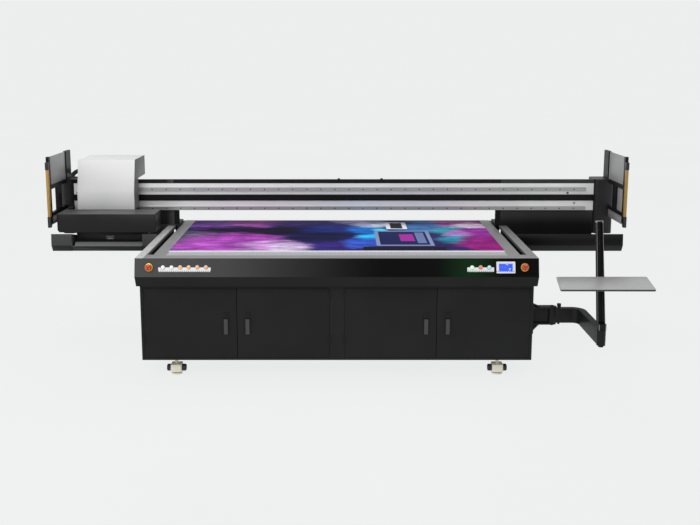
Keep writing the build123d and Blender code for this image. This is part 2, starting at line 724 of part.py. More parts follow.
cap_x = (-2100.0, -1760.0)
with BuildPart() as cap_unit:
    block(cap_x, (1104, 1234), (-38, -6))
    for column in range(4):
        for row in range(2):
            pad_x = -2055.0 + 83 * column
            pad_y = 1138.0 + 62 * row
            block((pad_x - 20, pad_x + 20), (pad_y - 26, pad_y + 26), (-7, 8))
            block((pad_x - 15, pad_x + 15), (pad_y - 21, pad_y + 21), (2, 9), mode=Mode.SUBTRACT)
keep(cap_unit, "cap_unit")

with BuildPart() as maintenance_station:
    with BuildSketch(Plane(place(0, cap_bay_y[0] - 5, 0), x_dir=(1, 0, 0), z_dir=(0, -1, 0))):
        with BuildLine():
            Polyline(
                (station_x[0], station_z[1]),
                (station_x[1], station_z[1]),
                (station_x[1], station_z[0]),
                (station_x[0] + 14, station_z[0]),
                (station_x[0], station_z[0] + 18),
                close=True,
            )
        make_face()
    extrude(amount=cap_bay_y[0] - 5 - outrigger_y[0])
    case_y = (outrigger_y[0] + sheet, cap_bay_y[0] - 5 - sheet)
    block((station_x[0] + 16, station_x[1] - sheet), case_y, inner(station_z, sheet), mode=Mode.SUBTRACT)
    block((station_x[0], station_x[0] + 12), (cap_bay_y[0] - 5 + hairline, cap_bay_y[1]), station_z)
    for x in (-2130.0, -1650.0):
        block((x, x + 40), (back_y + 10, 1080), (outrigger_z[1] + hairline, station_z[0] - hairline))
keep(maintenance_station, "maintenance_station")

# ---- safety wings ----
behind_post = front_post_y[1] + hairline
arm_y = (behind_post, beam_front - hairline)
with BuildPart() as safety_wings:
    for side in SIDES:
        wing = both(wing_x, side)
        case(wing, front_post_y, (100, wing_top), 2)
        case(wing, rear_post_y, (cover_top + hairline, wing_top), 2)
        case(wing, arm_y, upper_bar_z, 2)
        case(wing, arm_y, lower_bar_z, 2)
        case(wing, window_bar_y, inner((lower_bar_z[1], upper_bar_z[0]), hairline), 2)
keep(safety_wings, "safety_wings")

with BuildPart() as wing_panels:
    panel_top = wing_top - 2
    for side in SIDES:
        panel_x = both((2324, 2328), side)
        block(panel_x, (behind_post, beam_front), (upper_bar_z[1] + hairline, panel_top))
        over_housing_y = (beam_front + hairline, rear_post_y[0] - hairline)
        block(panel_x, over_housing_y, (cover_top + hairline, panel_top))
        block(panel_x, arm_y, (flap_foot, lower_bar_z[0] - hairline))
    window_y = (behind_post, window_bar_y[0] - hairline)
    block((2324, 2328), window_y, inner((lower_bar_z[1], upper_bar_z[0]), hairline))
keep(wing_panels, "wing_panels")

with BuildPart() as light_curtains:
    for side in SIDES:
        curtain_y = (front_post_y[0] - 35.5, front_post_y[0] - hairline)
        block(both((2314, 2333), side), curtain_y, (159.5, 538.5))
        for cap_z in ((539, 600), (70, 159)):
            block(both((2312, 2336), side), curtain_y, cap_z)
keep(light_curtains, "light_curtains")

# ---- carriage ----
plate_back = 1250.0
plate_front = 1232.0
block_z = ((131.0, 178.0), (294.0, 342.0))
with BuildPart() as carriage_plate:
    block((-2150, -1710), (plate_front, plate_back), (100, 400))
    for x in (-2025.0, -1835.0):
        block((x - 15, x + 15), (plate_front - 3.5, plate_front), (110, 390))
    for x in (-2130.0, -1830.0):
        for (low, high), (rail_low, rail_high) in zip(block_z, x_rail_z):
            block((x, x + 100), (plate_back, 1291), (low, high))
            rail_hole = (rail_low - 0.4, rail_high + 0.4)
            block((x - 1, x + 101), (x_rail_front - 0.4, 1292), rail_hole, mode=Mode.SUBTRACT)
    block((-2080, -1780), (plate_back, 1282), (222, 270))
keep(carriage_plate, "carriage_plate")

with BuildPart() as carriage_cover:
    front, top_front, lower_rear, upper_rear = cover_y
    bottom, crease, step, top = cover_z
    with BuildSketch(side_plane(carriage_x[0])):
        with BuildLine():
            Polyline(
                (front, bottom),
                (front, crease),
                (top_front, top),
                (upper_rear, top),
                (upper_rear, step),
                (lower_rear, step),
                (lower_rear, bottom),
                close=True,
            )
        make_face()
    extrude(amount=carriage_x[1] - carriage_x[0])
    with BuildSketch(side_plane(carriage_x[0] + sheet)):
        with BuildLine():
            Polyline(
                (front + sheet, bottom - 1),
                (front + sheet, crease),
                (top_front + 2.5, top - sheet),
                (upper_rear - sheet, top - sheet),
                (upper_rear - sheet, step + sheet),
                (lower_rear + 18, step + sheet),
                (lower_rear + 18, bottom - 1),
                close=True,
            )
        make_face()
    extrude(amount=carriage_x[1] - carriage_x[0] - 2 * sheet, mode=Mode.SUBTRACT)
keep(carriage_cover, "carriage_cover")

bend_outer = 121.5
bend_inner = 83.5
bend_centre = (-2240.0, chain_bed + hairline + bend_outer)
with BuildPart() as cable_chain:
    with BuildSketch(Plane(place(0, chain_y[1], 0), x_dir=(1, 0, 0), z_dir=(0, -1, 0))):
        with BuildLine():
            x, z = bend_centre
            ThreePointArc((x, z + bend_outer), (x - bend_outer, z), (x, z - bend_outer))
            Line((x, z - bend_outer), (x, z - bend_inner))
            ThreePointArc((x, z - bend_inner), (x - bend_inner, z), (x, z + bend_inner))
            Polyline(
                (x, z + bend_inner),
                (carriage_x[0] - 0.2, z + bend_inner),
                (carriage_x[0] - 0.2, z + bend_outer),
                (x, z + bend_outer),
            )
        make_face()
    extrude(amount=chain_y[1] - chain_y[0])
keep(cable_chain, "cable_chain")

# ---- print head unit, on its own vertical slide ----
head_columns = (-2055.0, -1972.0, -1889.0, -1806.0)
head_rows = (1138.0, 1200.0)
with BuildPart() as head_plate:
    block((-2095, -1765), (1106, 1228), (78, 90))
    block((-2095, -1765), (1216, 1228), (78, 340))
    for x in head_columns:
        for y in head_rows:
            block((x - 18, x + 18), (y - 25, min(y + 25, 1215)), (77, 91), mode=Mode.SUBTRACT)
keep(head_plate, "head_plate")

with BuildPart() as print_heads:
    for x in head_columns:
        for y in head_rows:
            head_y = (y - 24, min(y + 24, 1214))
            block((x - 17, x + 17), head_y, (nozzle_z, 180))
keep(print_heads, "print_heads")

with BuildPart() as uv_lamps:
    for x in (-2161.0, -1761.0):
        case((x, x + 60), (1110, 1226), (nozzle_z + 4, 210))
keep(uv_lamps, "uv_lamps")

# ---- fasteners ----
with BuildPart() as fasteners:
    for y in (pivot_y - 42, pivot_y + 42):
        for z in (-560.0, -402.0):
            rod((cabinet_half + 12, y, z), (1, 0, 0), 9, 8)
keep(fasteners, "fasteners")
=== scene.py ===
"""Looks of the flatbed UV printer: studio, camera, materials and the detail pieces
that ride on the CAD bodies."""

import json
import math

import bmesh
import bpy
from mathutils import Matrix, Vector


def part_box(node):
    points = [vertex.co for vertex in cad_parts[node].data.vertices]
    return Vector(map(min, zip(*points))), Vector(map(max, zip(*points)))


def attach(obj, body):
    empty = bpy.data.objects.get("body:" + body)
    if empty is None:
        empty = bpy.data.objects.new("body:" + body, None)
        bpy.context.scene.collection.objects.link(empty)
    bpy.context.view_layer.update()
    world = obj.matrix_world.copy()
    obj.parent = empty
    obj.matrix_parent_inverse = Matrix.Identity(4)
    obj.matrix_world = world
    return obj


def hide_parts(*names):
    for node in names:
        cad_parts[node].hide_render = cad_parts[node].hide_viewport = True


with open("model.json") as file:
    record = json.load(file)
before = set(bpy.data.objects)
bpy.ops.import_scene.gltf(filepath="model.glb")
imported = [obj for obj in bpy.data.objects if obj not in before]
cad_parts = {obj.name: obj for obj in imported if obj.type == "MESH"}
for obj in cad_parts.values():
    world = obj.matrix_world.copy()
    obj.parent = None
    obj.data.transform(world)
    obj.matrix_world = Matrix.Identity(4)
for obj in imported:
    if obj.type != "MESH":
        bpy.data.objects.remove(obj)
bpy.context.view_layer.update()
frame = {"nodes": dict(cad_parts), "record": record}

nodes = frame["nodes"]

# The datum is the middle of the bed's front top edge, LIP millimetres in front of the bed's own metal.
MM = 0.001
LIP = 3.6
BED_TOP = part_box("table_rails")[1][2]
BED_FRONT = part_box("table_rails")[0][1] - LIP * MM

# Places in millimetres from the datum.
SIDES = (-1, 1)
CABINET_HALF = 1442
DISPLAY_X = 1217.5
STOP_X = 1355
GREEN_LAMP_X = 975
CONTROL_ROW = (-14.66, -64)  # y and z of the row of buttons on the console's slope
CONSOLE_NORMAL = Vector((0, -0.9748, 0.2232))  # not a place: the way the emergency stops point
RAIL_FRONT = 1276
RAIL_HEIGHTS = (154.5, 318)
HOUSING_FRONT = 1296
OUTRIGGER_FRONT = 853
SOCKET_FACE = (1462, 300)  # x and y of the middle of each power socket's face
SOCKET_HEIGHTS = (-631, -725)
CHAIN_BEND = (-2240, 350)  # x and z of the middle of the chain's bend
CHAIN_RADIUS = 102.5
CHAIN_STRAND_END = -2169


def at(x, y, z):
    """A point given in millimetres from the datum."""
    return Vector((x * MM, BED_FRONT + y * MM, BED_TOP + z * MM))


# ---------------------------------------------------------------- camera
FOCAL = 46.917
PITCH = 9.492
CAMERA_FROM_DATUM = (23.16, -6429.1, 1428.2)


def make_camera():
    """The photograph's camera, level from side to side."""
    data = bpy.data.cameras.new("camera")
    data.lens = FOCAL
    data.sensor_width = 36
    data.shift_x = 0.0143
    data.shift_y = -0.075
    data.clip_end = 100
    camera = bpy.data.objects.new("camera", data)
    camera.location = at(*CAMERA_FROM_DATUM)
    camera.rotation_euler = (math.radians(90 - PITCH), 0, 0)
    bpy.context.scene.collection.objects.link(camera)
    bpy.context.scene.camera = camera


# ---------------------------------------------------------------- material tools
def start(name, colour, metallic=0.0, roughness=0.5, **sockets):
    """A new material with one Principled shader. Other sockets are given by name, with _ for a space."""
    material = bpy.data.materials.new(name)
    material.use_nodes = True
    tree = material.node_tree
    principled = tree.nodes["Principled BSDF"]
    principled.inputs["Base Color"].default_value = (*colour, 1)
    principled.inputs["Metallic"].default_value = metallic
    principled.inputs["Roughness"].default_value = roughness
    for key, value in sockets.items():
        principled.inputs[key.replace("_", " ")].default_value = value
    return material, tree, principled


def add(tree, kind, **settings):
    """A node of that kind, with properties by name and inputs in the dictionary called ins."""
    ins = settings.pop("ins", {})
    node = tree.nodes.new("ShaderNode" + kind)
    for key, value in settings.items():
        setattr(node, key, value)
    for key, value in ins.items():
        socket = node.inputs[key]
        if isinstance(value, bpy.types.NodeSocket):
            tree.links.new(value, socket)
        else:
            socket.default_value = value
    return node


def place_of(tree, scale=(1, 1, 1)):
    """The point on the piece, in metres in the row frame, stretched by scale."""
    coordinates = add(tree, "TexCoord")
    mapping = add(tree, "Mapping", ins={"Vector": coordinates.outputs["Object"], "Scale": scale})
    return mapping.outputs["Vector"]


def noise(tree, scale, detail=4, stretch=(1, 1, 1), rough=0.5):
    """A noise value from 0 to 1, with scale in cells per metre."""
    where = place_of(tree, stretch)
    node = add(tree, "TexNoise", ins={"Vector": where, "Scale": scale, "Detail": detail, "Roughness": rough})
    return node.outputs["Fac"]


def ramp(tree, value, stops):
    """A colour ramp through (place, colour) stops."""
    node = add(tree, "ValToRGB", ins={"Fac": value})
    elements = node.color_ramp.elements
    while len(elements) < len(stops):
        elements.new(0.5)
    for element, (place, colour) in zip(elements, stops):
        element.position = place
        element.color = (*colour, 1)
    return node.outputs["Color"]


def spread(tree, value, low, high):
    """A value from 0 to 1 spread between low and high."""
    node = add(tree, "MapRange", ins={"Value": value, "To Min": low, "To Max": high})
    return node.outputs["Result"]


def maths(tree, operation, a, b=0.0):
    """One step of arithmetic."""
    return add(tree, "Math", operation=operation, ins={0: a, 1: b}).outputs[0]


def mix(tree, factor, a, b, blend="MIX"):
    """Two colours mixed."""
    node = add(tree, "Mix", data_type="RGBA", blend_type=blend)
    for index, value in ((0, factor), (6, a), (7, b)):
        if isinstance(value, bpy.types.NodeSocket):
            tree.links.new(value, node.inputs[index])
        elif isinstance(value, (int, float)):
            node.inputs[index].default_value = value
        else:
            node.inputs[index].default_value = (*value, 1)
    return node.outputs[2]


def both(tree, a, b):
    """The product of two values: of two masks, the place where both are 1."""
    return maths(tree, "MULTIPLY", a, b)


def between(tree, value, low, high):
    """1 where the value is between low and high, and 0 elsewhere."""
    node = add(tree, "Math", operation="COMPARE", ins={0: value, 1: (low + high) / 2, 2: (high - low) / 2})
    return node.outputs[0]


def cell_of(tree, value, pitch):
    """How far the value is through its cell of that pitch, from 0 to 1."""
    return maths(tree, "FRACT", maths(tree, "DIVIDE", value, pitch))


def mask(tree, x=None, y=None, z=None):
    """1 inside the ranges, given in millimetres from the datum, and 0 outside."""
    split = add(tree, "SeparateXYZ", ins={"Vector": place_of(tree)})
    inside = None
    for index, limits in enumerate((x, y, z)):
        if limits is None:
            continue
        low, high = (at(0, 0, 0)[index] + limit * MM for limit in limits)
        step = between(tree, split.outputs[index], low, high)
        inside = step if inside is None else both(tree, inside, step)
    return inside


def fade(tree, axis, start_at, end_at):
    """A value that rises smoothly from 0 to 1 along X, Y or Z, between millimetres from the datum."""
    split = add(tree, "SeparateXYZ", ins={"Vector": place_of(tree)})
    origin = at(0, 0, 0)["XYZ".index(axis)]
    node = add(tree, "MapRange", interpolation_type="SMOOTHSTEP", ins={
        "Value": split.outputs[axis], "From Min": origin + start_at * MM, "From Max": origin + end_at * MM})
    return node.outputs["Result"]


def facing(tree, axis):
    """1 where the surface faces along X, Y or Z, or against it for -X, -Y or -Z."""
    geometry = add(tree, "NewGeometry")
    split = add(tree, "SeparateXYZ", ins={"Vector": geometry.outputs["Normal"]})
    sign = -1 if axis[0] == "-" else 1
    squarely = 0.6
    return maths(tree, "GREATER_THAN", maths(tree, "MULTIPLY", split.outputs[axis[-1]], sign), squarely)


def grey(tone):
    """A linear colour for a grey of that brightness on screen, from 0 to 255."""
    share = tone / 255
    return (share / 12.92 if share <= 0.04045 else ((share + 0.055) / 1.055) ** 2.4,) * 3


def bump(tree, principled, height, distance, strength=0.5):
    """Adds relief to the shader."""
    node = add(tree, "Bump", ins={"Height": height, "Distance": distance, "Strength": strength})
    tree.links.new(node.outputs["Normal"], principled.inputs["Normal"])


def join(tree, output, principled, socket):
    """Feeds a node's output to one of the shader's sockets."""
    tree.links.new(output, principled.inputs[socket])


def tinted(colour, factor):
    """The colour, lighter or darker by that factor."""
    return tuple(min(1.0, c * factor) for c in colour)


def zoned(tree, colour, zones):
    """The colour, changed inside each zone to the colour given there."""
    tone = add(tree, "RGB").outputs[0]
    tone.default_value = (*colour, 1)
    for where, there in zones:
        tone = mix(tree, where(tree), tone, there)
    return tone


def painted(name, colour, roughness=0.4, grain=700, relief=0.00012, vary=0.18, metallic=0.0, zones=(),
            **sockets):
    """Powder coat or paint: orange-peel relief, cloudy tone and slightly uneven gloss.
    Each zone is a function that gives a mask for the tree, and the colour there."""
    material, tree, principled = start(name, colour, metallic, roughness, **sockets)
    tone = zoned(tree, colour, zones)
    clouds = noise(tree, 2.3, 5)
    fine = noise(tree, grain, 2)
    cloud = ramp(tree, clouds, ((0.3, (1 - vary,) * 3), (0.7, (1 + vary,) * 3)))
    speck = ramp(tree, fine, ((0.42, (0.9, 0.9, 0.9)), (0.62, (1.12, 1.12, 1.12))))
    shade = mix(tree, 1.0, cloud, speck, "MULTIPLY")
    join(tree, mix(tree, 1.0, tone, shade, "MULTIPLY"), principled, "Base Color")
    smear = noise(tree, 7, 6, (1, 1, 3))
    join(tree, spread(tree, smear, roughness - 0.07, roughness + 0.09), principled, "Roughness")
    bump(tree, principled, fine, relief, 0.35)
    return material


def metal(name, colour, roughness, stretch, metallic=1.0, vary=0.12, zones=(), **sockets):
    """Metal with drawn lines: stretch is small along the lines and large across them."""
    material, tree, principled = start(name, colour, metallic, roughness, **sockets)
    tone = zoned(tree, colour, zones)
    lines = noise(tree, 14, 6, stretch, 0.65)
    clouds = noise(tree, 3, 4)
    line_tone = ramp(tree, lines, ((0.3, (1 - vary,) * 3), (0.7, (1 + vary,) * 3)))
    cloud_tone = ramp(tree, clouds, ((0.25, (0.93, 0.93, 0.94)), (0.75, (1.04, 1.04, 1.03))))
    shade = mix(tree, 1.0, line_tone, cloud_tone, "MULTIPLY")
    join(tree, mix(tree, 1.0, tone, shade, "MULTIPLY"), principled, "Base Color")
    join(tree, spread(tree, lines, roughness - 0.08, roughness + 0.1), principled, "Roughness")
    bump(tree, principled, lines, 0.00004, 0.4)
    return material


def moulded(name, colour, roughness=0.45, grain=1500, relief=0.00008, **sockets):
    """Moulded plastic or rubber with a fine texture."""
    return painted(name, colour, roughness, grain, relief, 0.1, **sockets)


def lamp_lens(name, colour, glow):
    """A glossy button lens with a fine texture, lit from behind."""
    material, tree, principled = start(name, colour, 0.0, 0.22, Emission_Strength=glow, Coat_Weight=0.6)
    fine = noise(tree, 900, 3)
    tone = ramp(tree, fine, ((0.3, tinted(colour, 0.85)), (0.7, tinted(colour, 1.1))))
    join(tree, tone, principled, "Base Color")
    principled.inputs["Emission Color"].default_value = (*colour, 1)
    bump(tree, principled, fine, 0.0001, 0.3)
    return material


def table_metal():
    """Anodised bed plate with a grid of vacuum holes."""
    material, tree, principled = start("table_plate", (0.42, 0.43, 0.44), 0.85, 0.42)
    hole_pitch = 0.03
    hole_share = 0.075  # of the pitch, from the middle of a hole to its rim
    split = add(tree, "SeparateXYZ", ins={"Vector": place_of(tree)})
    squares = []
    for axis in ("X", "Y"):
        offset = maths(tree, "SUBTRACT", cell_of(tree, split.outputs[axis], hole_pitch), 0.5)
        squares.append(maths(tree, "POWER", offset, 2))
    distance = maths(tree, "SQRT", maths(tree, "ADD", *squares))
    hole = maths(tree, "LESS_THAN", distance, hole_share)
    lines = noise(tree, 12, 5, (1, 40, 40))
    tone = ramp(tree, lines, ((0.3, (0.34, 0.35, 0.36)), (0.7, (0.5, 0.51, 0.52))))
    join(tree, mix(tree, hole, tone, (0.01, 0.01, 0.01)), principled, "Base Color")
    join(tree, spread(tree, lines, 0.34, 0.5), principled, "Roughness")
    bump(tree, principled, maths(tree, "SUBTRACT", 1.0, hole), 0.002, 0.6)
    return material


# Soft patches of the board's art: (middle across, middle along, half width, half depth, colour), as shares
# of the board from its front left corner. Later patches lie over earlier ones.
ART = (
    (0.10, 0.90, 0.22, 0.30, (0.20, 0.07, 0.36)), (0.24, 0.92, 0.12, 0.16, (0.46, 0.10, 0.44)),
    (0.42, 0.90, 0.20, 0.26, (0.07, 0.03, 0.26)), (0.58, 0.96, 0.10, 0.14, (0.52, 0.42, 0.72)),
    (0.30, 0.64, 0.34, 0.20, (0.006, 0.005, 0.02)), (0.16, 0.55, 0.16, 0.14, (0.01, 0.008, 0.02)),
    (0.52, 0.62, 0.16, 0.30, (0.012, 0.02, 0.16)), (0.06, 0.36, 0.12, 0.22, (0.10, 0.10, 0.14)),
    (0.10, 0.18, 0.16, 0.30, (0.40, 0.08, 0.44)), (0.20, 0.38, 0.14, 0.16, (0.36, 0.06, 0.40)),
    (0.30, 0.14, 0.12, 0.24, (0.58, 0.30, 0.62)), (0.36, 0.08, 0.08, 0.16, (0.62, 0.50, 0.70)),
    (0.48, 0.20, 0.10, 0.34, (0.035, 0.02, 0.18)), (0.44, 0.44, 0.12, 0.16, (0.008, 0.01, 0.05)),
    (0.62, 0.84, 0.08, 0.16, (0.70, 0.80, 0.92)), (0.60, 0.66, 0.09, 0.14, (0.01, 0.18, 0.62)),
    (0.61, 0.40, 0.08, 0.14, (0.02, 0.55, 0.85)), (0.57, 0.26, 0.08, 0.14, (0.04, 0.12, 0.60)),
    (0.66, 0.58, 0.05, 0.10, (0.03, 0.62, 0.80)), (0.80, 0.80, 0.12, 0.22, (0.06, 0.22, 0.50)),
    (0.90, 0.88, 0.12, 0.14, (0.62, 0.14, 0.46)), (0.93, 0.78, 0.07, 0.12, (0.86, 0.72, 0.86)),
    (0.85, 0.62, 0.07, 0.14, (0.04, 0.42, 0.46)), (0.90, 0.52, 0.08, 0.12, (0.50, 0.22, 0.62)),
    (0.97, 0.56, 0.06, 0.20, (0.32, 0.03, 0.34)), (0.86, 0.34, 0.08, 0.14, (0.02, 0.30, 0.40)),
    (0.94, 0.24, 0.10, 0.20, (0.28, 0.012, 0.20)), (0.98, 0.08, 0.08, 0.14, (0.34, 0.012, 0.22)),
)
# The plain shapes on the art: (from across, to across, from along, to along, colour).
BLOCKS = (
    (0.58, 0.83, 0.02, 0.11, (0.006, 0.005, 0.012)), (0.622, 0.80, 0.14, 0.62, (0.16, 0.20, 0.34)),
    (0.634, 0.788, 0.17, 0.59, (0.008, 0.012, 0.06)), (0.70, 0.745, 0.28, 0.50, (0.26, 0.02, 0.24)),
    (0.752, 0.78, 0.22, 0.56, (0.10, 0.14, 0.28)), (0.665, 0.735, 0.68, 0.92, (0.62, 0.64, 0.68)),
    (0.68, 0.72, 0.70, 0.90, (0.01, 0.01, 0.015)),
)


def board_print():
    """A printed board: soft coloured clouds and plain blocks on the face, and a white edge."""
    material, tree, principled = start("board_print", (0.3, 0.2, 0.5), 0.0, 0.6, Specular_IOR_Level=0.03)
    split = add(tree, "SeparateXYZ", ins={"Vector": place_of(tree)})
    low_corner, high_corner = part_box("print_board")
    warp = add(tree, "TexNoise", ins={
        "Vector": place_of(tree, (1, 1.5, 1)), "Scale": 1.7, "Detail": 7, "Roughness": 0.6})
    bent = add(tree, "SeparateColor", ins={"Color": warp.outputs["Color"]})
    shares = []
    moved = []
    for index, bend in enumerate((0.22, 0.55)):
        share = add(tree, "MapRange", ins={
            "Value": split.outputs[index], "From Min": low_corner[index], "From Max": high_corner[index]})
        shares.append(share.outputs["Result"])
        centred = maths(tree, "SUBTRACT", bent.outputs[index], 0.5)
        moved.append(maths(tree, "ADD", shares[index], maths(tree, "MULTIPLY", centred, bend)))
    art = (0.03, 0.02, 0.12)
    for across, along, wide, deep, colour in ART:
        x = maths(tree, "DIVIDE", maths(tree, "SUBTRACT", moved[0], across), wide)
        y = maths(tree, "DIVIDE", maths(tree, "SUBTRACT", moved[1], along), deep)
        square = maths(tree, "ADD", both(tree, x, x), both(tree, y, y))
        patch = add(tree, "MapRange", interpolation_type="SMOOTHSTEP", ins={
            "Value": square, "From Min": 0.15, "From Max": 1.25, "To Min": 1.0, "To Max": 0.0})
        art = mix(tree, patch.outputs["Result"], art, colour)
    streaks = noise(tree, 5, 8, (1, 2.5, 1), 0.65)
    smoke = ramp(tree, streaks, (
        (0.35, (0.35, 0.3, 0.4)), (0.55, (0.72, 0.7, 0.74)), (0.72, (1.3, 1.25, 1.3))))
    art = mix(tree, 1.0, art, smoke, "MULTIPLY")
    for left, right, near, far, colour in BLOCKS:
        inside = both(tree, between(tree, shares[0], left, right), between(tree, shares[1], near, far))
        art = mix(tree, inside, art, colour)
    join(tree, mix(tree, facing(tree, "Z"), (0.82, 0.83, 0.84), art), principled, "Base Color")
    bump(tree, principled, noise(tree, 2600, 1), 0.00003, 0.25)
    return material


def legend_film():
    """Pale film with small dark marks under the buttons, and a lit blue display."""
    material, tree, principled = start("legend_film", (0.8, 0.8, 0.8), 0.0, 0.35)
    mark_pitch = 0.0155
    glyph_pitch = (0.0083, 0.0145)  # across and down the display
    display_half = 49
    split = add(tree, "SeparateXYZ", ins={"Vector": place_of(tree)})
    fine = noise(tree, 420, 3)
    tone = ramp(tree, fine, ((0.3, (0.62, 0.62, 0.63)), (0.7, (0.78, 0.78, 0.79))))
    bars = maths(tree, "LESS_THAN", cell_of(tree, split.outputs["X"], mark_pitch), 0.4)
    film = mix(tree, both(tree, bars, mask(tree, z=(-96, -86))), tone, (0.16, 0.16, 0.18))
    row = maths(tree, "LESS_THAN", cell_of(tree, split.outputs["Z"], glyph_pitch[1]), 0.42)
    column = maths(tree, "GREATER_THAN", cell_of(tree, split.outputs["X"], glyph_pitch[0]), 0.3)
    shown = maths(tree, "GREATER_THAN", noise(tree, 38, 1), 0.62)
    lit = mix(tree, both(tree, both(tree, row, column), shown), (0.02, 0.07, 0.72), (0.55, 0.7, 1.0))
    display = mask(tree, x=(DISPLAY_X - display_half, DISPLAY_X + display_half), z=(-90, -38))
    join(tree, mix(tree, display, film, lit), principled, "Base Color")
    join(tree, mix(tree, display, (0, 0, 0), lit), principled, "Emission Color")
    principled.inputs["Emission Strength"].default_value = 0.55
    bump(tree, principled, fine, 0.00005, 0.3)
    return material


# ---------------------------------------------------------------- materials of the CAD nodes
def zone(**ranges):
    """A zone between ranges in millimetres from the datum."""
    return lambda tree: mask(tree, **ranges)


def on_side(axis, **ranges):
    """A zone on the faces that point along an axis, and inside the ranges if there are any."""
    if not ranges:
        return lambda tree: facing(tree, axis)
    return lambda tree: both(tree, facing(tree, axis), mask(tree, **ranges))


def rising(axis, start_at, end_at, **ranges):
    """A zone that comes in smoothly along an axis, inside the ranges if there are any."""
    if not ranges:
        return lambda tree: fade(tree, axis, start_at, end_at)
    return lambda tree: both(tree, mask(tree, **ranges), fade(tree, axis, start_at, end_at))


def painted_lamp_glow(tree):
    """A zone on the console to both sides of the green lamp, where the lamp's light is painted on as a green
    tint.
    """
    from_left = fade(tree, "X", GREEN_LAMP_X - 285, GREEN_LAMP_X)
    from_right = fade(tree, "X", GREEN_LAMP_X + 255, GREEN_LAMP_X)
    return both(tree, from_left, from_right)


def black(name, tone=28, roughness=0.42, gloss=0.16, **settings):
    """Black powder coat of that brightness."""
    return painted(name, grey(tone), roughness, Specular_IOR_Level=gloss, **settings)


def console_black():
    """The console, black, with painted light: a painted reflection makes its left end paler, the green lamp's
    light is painted round it, and its upward faces carry a painted highlight. Its lower part is a paler black.
    """
    return black("console_black", 8, 0.34, grain=900, vary=0.1, gloss=0.06, zones=[
        # painted reflection: the console paler towards its left end
        (rising("X", 400, -1400), grey(72)),
        # painted light: a green tint round the green lamp, for its glow
        (painted_lamp_glow, (0.004, 0.022, 0.006)),
        (zone(z=(-300, -131.5)), grey(34)),
        # painted highlight on the console's upward faces
        (on_side("Z"), grey(120))])


def housing_dark():
    """The gantry's casings: one black with light and shade painted in by place.
    The left outrigger is painted paler than the right, as lit from the left; the drawer's lip carries a
    painted reflection; the station's top a painted highlight and its right side painted shade; the right
    outrigger's upper part painted deep shade; the legs' fronts painted gradients of light; and the
    station, the drawer's recess and the end housings each a painted grey for the light there.
    """
    outrigger_fold = -83
    left_outrigger = {"x": (-2400, -1300)}
    right_outrigger = {"x": (1300, 2400), "y": (850, 1292)}
    drawer_x = (-2165, -1586)
    station = {"x": (-2280, -1470), "z": (25, 180)}
    housing = {"y": (1290, 1502), "z": (-70, 401.2)}
    leg_front = (1290, 1310)
    left_leg_x = (-1475, -1400)
    return black("housing_dark", 18, 0.38, grain=760, zones=[
        # painted light: the left outrigger paler than the right, above and below its fold
        (zone(**left_outrigger, z=(outrigger_fold, 13)), grey(58)),
        (zone(**left_outrigger, z=(-140, outrigger_fold)), grey(32)),
        # painted reflection on the drawer's sloping lip, and a painted grey for its recess
        (zone(x=drawer_x, y=(850, 884), z=(-90, -58)), grey(92)),
        (zone(x=drawer_x, y=(925, 935), z=(-60, 20)), grey(28)),
        # the station a painted grey, its top a painted highlight and its right side painted shade
        (zone(**station), grey(26)),
        (on_side("Z", x=station["x"], z=(150, 180)), grey(68)),
        (on_side("X", x=(-1700, -1470), z=station["z"]), grey(12)),
        # painted shade: the right outrigger's upper part near black, its lower part a paler grey
        (zone(**right_outrigger, z=(outrigger_fold, 13)), grey(5)),
        (zone(**right_outrigger, z=(-140, outrigger_fold)), grey(34)),
        # the end housings each a painted grey for the light on them
        (zone(x=(2190, 2400), **housing), grey(44)),
        (zone(x=(-2400, -2250), **housing), grey(34)),
        # painted gradients of light up the right leg's front and across the left leg's front
        (rising("Z", 0, 130, x=(1400, 2192), y=leg_front), grey(54)),
        (rising("X", *left_leg_x, x=left_leg_x, y=leg_front), grey(66))])


